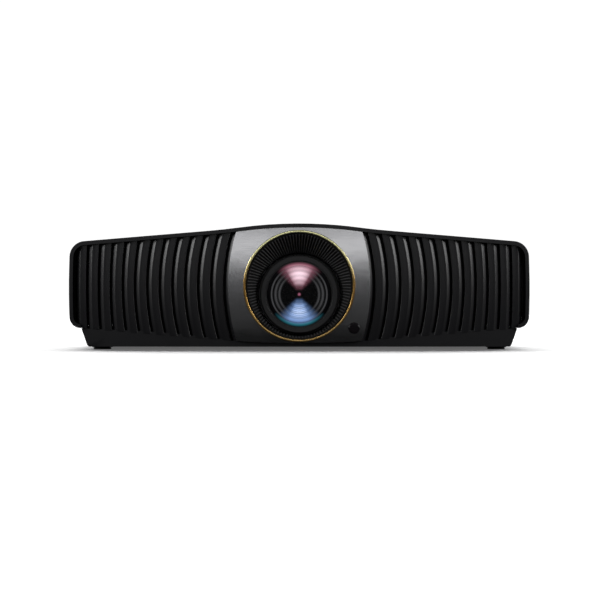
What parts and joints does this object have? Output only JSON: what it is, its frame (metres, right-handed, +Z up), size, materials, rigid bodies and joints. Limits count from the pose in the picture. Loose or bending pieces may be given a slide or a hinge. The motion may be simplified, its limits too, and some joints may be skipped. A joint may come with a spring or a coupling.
{
  "type": "home projector",
  "caption": "Wide low home cinema projector with louvred front, metal lens panel, gold ring, shiftable zoom lens, lens-control door and screw feet.",
  "frame": {"origin": "on the standing surface, below the middle of the overall box", "axes": "+Z up, -Y the way the picture leaves, +X to the right for someone looking at the front"},
  "size_m": [0.4934, 0.329, 0.1345],
  "materials": {
    "cover_black": "fine-textured black moulding",
    "tray_black": "matt black moulding",
    "grille_black": "satin black moulding",
    "gunmetal": "satin gunmetal metallic",
    "gold_trim": "polished gold-coloured ring",
    "funnel_black": "matt black, finely ribbed",
    "smoked_window": "polished smoked plastic",
    "lens_glass": "coated optical glass",
    "lens_black": "black anodised",
    "steel": "machined steel",
    "cast_metal": "cast aluminium",
    "brass": "turned brass",
    "rubber": "black rubber",
    "circuit_board": "green board with components",
    "connector": "black and metal sockets",
    "fan_plastic": "black fan moulding",
    "button": "polished black key",
    "indicator": "translucent white light pipe",
    "wheel_glass": "dichroic glass",
    "reflector": "coated reflector"
  },
  "bodies": {
    "chassis": {"top_cover": "cover_black", "base_tray": "tray_black", "rear_panel": "tray_black", "left_grille": "grille_black", "right_grille": "grille_black", "lens_panel": "gunmetal", "accent_ring": "gold_trim", "lens_funnel": "funnel_black", "ir_window": "smoked_window", "lamp_door": "cover_black", "casing_screws": "steel", "ceiling_mount_inserts": "brass", "keypad_bezel": "grille_black", "keypad_board": "circuit_board", "indicator_lenses": "indicator", "ir_receiver_board": "circuit_board", "door_hinge_pins": "steel", "lens_mount_frame": "cast_metal", "light_engine_housing": "cast_metal", "color_wheel_motor": "steel", "light_tunnel": "reflector", "dmd_board": "circuit_board", "dmd_heat_sink": "cast_metal", "lamp_housing": "tray_black", "lamp_reflector": "reflector", "main_board": "circuit_board", "power_supply_board": "circuit_board", "rear_connectors": "connector", "ac_inlet": "connector", "jack_sleeves": "brass", "intake_fan_frame": "fan_plastic", "exhaust_fan_frame": "fan_plastic", "rear_feet": "rubber"},
    "side_carriage": {"horizontal_carriage": "cast_metal"},
    "lens_body": {"vertical_carriage": "cast_metal", "lens_barrel": "lens_black", "rear_lens_element": "lens_glass"},
    "front_lens": {"front_lens_cell": "lens_black", "front_lens_element": "lens_glass"},
    "focus_control": {"focus_ring": "lens_black"},
    "zoom_control": {"zoom_ring": "lens_black"},
    "zoom_group": {"zoom_lens_cell": "lens_black", "zoom_lens_elements": "lens_glass"},
    "side_shift_dial": {"horizontal_shift_dial": "lens_black"},
    "up_shift_dial": {"vertical_shift_dial": "lens_black"},
    "access_door": {"lens_access_door": "cover_black"},
    "wheel": {"color_wheel": "wheel_glass"},
    "intake_rotor": {"intake_fan_rotor": "fan_plastic"},
    "exhaust_rotor": {"exhaust_fan_rotor": "fan_plastic"},
    "left_pad": {"left_foot_pad": "rubber"},
    "left_screw": {"left_foot_screw": "tray_black"},
    "right_pad": {"right_foot_pad": "rubber"},
    "right_screw": {"right_foot_screw": "tray_black"},
    "power_button": {"power_button": "button"},
    "menu_button": {"menu_button": "button"},
    "ok_button": {"ok_button": "button"},
    "up_button": {"up_button": "button"},
    "down_button": {"down_button": "button"},
    "left_button": {"left_button": "button"},
    "right_button": {"right_button": "button"}
  },
  "joints": [
    {"name": "lens_side_shift", "type": "slide", "parent": "chassis", "child": "side_carriage", "axis": [1, 0, 0], "range_m": [-0.0019, 0.0019]},
    {"name": "lens_up_shift", "type": "slide", "parent": "side_carriage", "child": "lens_body", "axis": [0, 0, 1], "range_m": [-0.0028, 0.0028]},
    {"name": "side_shift_dial_turn", "type": "hinge", "parent": "chassis", "child": "side_shift_dial", "pos_m": [0.0625, -0.0655, 0.1163], "axis": [1, 0, 0], "range_deg": [-684, 684]},
    {"name": "up_shift_dial_turn", "type": "hinge", "parent": "side_carriage", "child": "up_shift_dial", "pos_m": [-0.0515, -0.0755, 0.1136], "axis": [0, 0, 1], "range_deg": [-1008, 1008]},
    {"name": "focus_turn", "type": "hinge", "parent": "lens_body", "child": "focus_control", "pos_m": [0, -0.1155, 0.059], "axis": [0, 1, 0], "range_deg": [-60, 60]},
    {"name": "focus_slide", "type": "slide", "parent": "lens_body", "child": "front_lens", "axis": [0, 1, 0], "range_m": [-0.0025, 0.0025]},
    {"name": "zoom_turn", "type": "hinge", "parent": "lens_body", "child": "zoom_control", "pos_m": [0, -0.098, 0.059], "axis": [0, 1, 0], "range_deg": [-45, 45]},
    {"name": "zoom_slide", "type": "slide", "parent": "lens_body", "child": "zoom_group", "axis": [0, 1, 0], "range_m": [-0.01, 0.01]},
    {"name": "access_door_hinge", "type": "hinge", "parent": "chassis", "child": "access_door", "pos_m": [0, -0.044, 0.1265], "axis": [-1, 0, 0], "range_deg": [0, 70]},
    {"name": "color_wheel_spin", "type": "hinge", "parent": "chassis", "child": "wheel", "pos_m": [-0.1397, 0.052, 0.078], "axis": [1, 0, 0], "continuous": true},
    {"name": "intake_fan_spin", "type": "hinge", "parent": "chassis", "child": "intake_rotor", "pos_m": [-0.15, -0.114, 0.062], "axis": [0, 1, 0], "continuous": true},
    {"name": "exhaust_fan_spin", "type": "hinge", "parent": "chassis", "child": "exhaust_rotor", "pos_m": [0.15, -0.114, 0.062], "axis": [0, 1, 0], "continuous": true},
    {"name": "left_foot_height", "type": "slide", "parent": "chassis", "child": "left_pad", "axis": [0, 0, -1], "range_m": [0, 0.01]},
    {"name": "left_foot_turn", "type": "hinge", "parent": "left_pad", "child": "left_screw", "pos_m": [-0.212, -0.121, 0.005], "axis": [0, 0, 1], "range_deg": [0, 2881]},
    {"name": "right_foot_height", "type": "slide", "parent": "chassis", "child": "right_pad", "axis": [0, 0, -1], "range_m": [0, 0.01]},
    {"name": "right_foot_turn", "type": "hinge", "parent": "right_pad", "child": "right_screw", "pos_m": [0.212, -0.121, 0.005], "axis": [0, 0, 1], "range_deg": [0, 2881]},
    {"name": "power_button_press", "type": "slide", "parent": "chassis", "child": "power_button", "axis": [-1, 0, 0], "range_m": [0, 0.001], "stiffness_N_per_m": 300, "springref_m": -0.002},
    {"name": "menu_button_press", "type": "slide", "parent": "chassis", "child": "menu_button", "axis": [-1, 0, 0], "range_m": [0, 0.001], "stiffness_N_per_m": 300, "springref_m": -0.002},
    {"name": "ok_button_press", "type": "slide", "parent": "chassis", "child": "ok_button", "axis": [-1, 0, 0], "range_m": [0, 0.001], "stiffness_N_per_m": 300, "springref_m": -0.002},
    {"name": "up_button_press", "type": "slide", "parent": "chassis", "child": "up_button", "axis": [-1, 0, 0], "range_m": [0, 0.001], "stiffness_N_per_m": 300, "springref_m": -0.002},
    {"name": "down_button_press", "type": "slide", "parent": "chassis", "child": "down_button", "axis": [-1, 0, 0], "range_m": [0, 0.001], "stiffness_N_per_m": 300, "springref_m": -0.002},
    {"name": "left_button_press", "type": "slide", "parent": "chassis", "child": "left_button", "axis": [-1, 0, 0], "range_m": [0, 0.001], "stiffness_N_per_m": 300, "springref_m": -0.002},
    {"name": "right_button_press", "type": "slide", "parent": "chassis", "child": "right_button", "axis": [-1, 0, 0], "range_m": [0, 0.001], "stiffness_N_per_m": 300, "springref_m": -0.002}
  ],
  "couplings": [
    {"joint": "side_shift_dial_turn", "follows": "lens_side_shift", "rad_per_m": 6283.2},
    {"joint": "up_shift_dial_turn", "follows": "lens_up_shift", "rad_per_m": 6283.2},
    {"joint": "focus_slide", "follows": "focus_turn", "m_per_rad": 0.0023872},
    {"joint": "zoom_slide", "follows": "zoom_turn", "m_per_rad": 0.012732},
    {"joint": "left_foot_turn", "follows": "left_foot_height", "rad_per_m": 5026.5},
    {"joint": "right_foot_turn", "follows": "right_foot_height", "rad_per_m": 5026.5}
  ]
}
